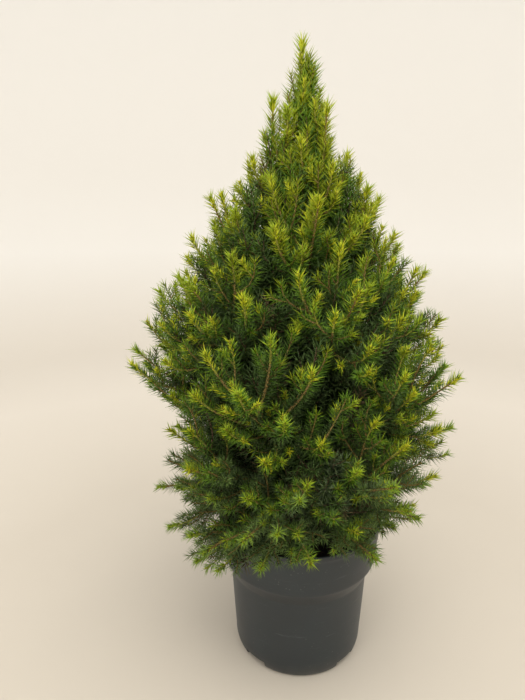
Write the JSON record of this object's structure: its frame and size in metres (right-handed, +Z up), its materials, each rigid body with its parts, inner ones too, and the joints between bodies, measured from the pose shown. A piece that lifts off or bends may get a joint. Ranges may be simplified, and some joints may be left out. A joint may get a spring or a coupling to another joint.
{
  "type": "potted dwarf spruce",
  "caption": "Dense conical dwarf spruce with upswept needle sprays, growing in a plain nursery pot of soil.",
  "frame": {"origin": "centre of the pot's flat underside, on the ground", "axes": "+Z up the plant, -Y towards the front, +X to the right as seen from the front"},
  "size_m": [0.3617, 0.3341, 0.661],
  "materials": {
    "pot_plastic": "moulded anthracite plastic, faintly scuffed",
    "potting_soil": "moist dark peat",
    "bark": "rough young bark",
    "foliage": "needles, dark inside and bright at the tips"
  },
  "bodies": {
    "root": {"bough_1_1": "bark", "bough_1_2": "bark", "bough_1_3": "bark", "bough_1_4": "bark", "bough_1_5": "bark", "bough_2_1": "bark", "bough_2_2": "bark", "bough_2_3": "bark", "bough_2_4": "bark", "bough_2_5": "bark", "bough_3_1": "bark", "bough_3_2": "bark", "bough_3_3": "bark", "bough_3_4": "bark", "bough_3_5": "bark", "bough_4_1": "bark", "bough_4_2": "bark", "bough_4_3": "bark", "bough_4_4": "bark", "bough_4_5": "bark", "foliage_1_1": "foliage", "foliage_1_2": "foliage", "foliage_1_3": "foliage", "foliage_1_4": "foliage", "foliage_1_5": "foliage", "foliage_2_1": "foliage", "foliage_2_2": "foliage", "foliage_2_3": "foliage", "foliage_2_4": "foliage", "foliage_2_5": "foliage", "foliage_3_1": "foliage", "foliage_3_2": "foliage", "foliage_3_3": "foliage", "foliage_3_4": "foliage", "foliage_3_5": "foliage", "foliage_4_1": "foliage", "foliage_4_2": "foliage", "foliage_4_3": "foliage", "foliage_4_4": "foliage", "foliage_4_5": "foliage", "foliage_5_1": "foliage", "foliage_5_2": "foliage", "foliage_5_3": "foliage", "foliage_5_4": "foliage", "foliage_5_5": "foliage", "foliage_6_1": "foliage", "foliage_6_2": "foliage", "foliage_6_3": "foliage", "foliage_6_4": "foliage", "foliage_7_1": "foliage", "foliage_7_2": "foliage", "foliage_7_3": "foliage", "foliage_leader": "foliage", "pot": "pot_plastic", "potting_soil": "potting_soil", "trunk": "bark"}
  },
  "joints": []
}
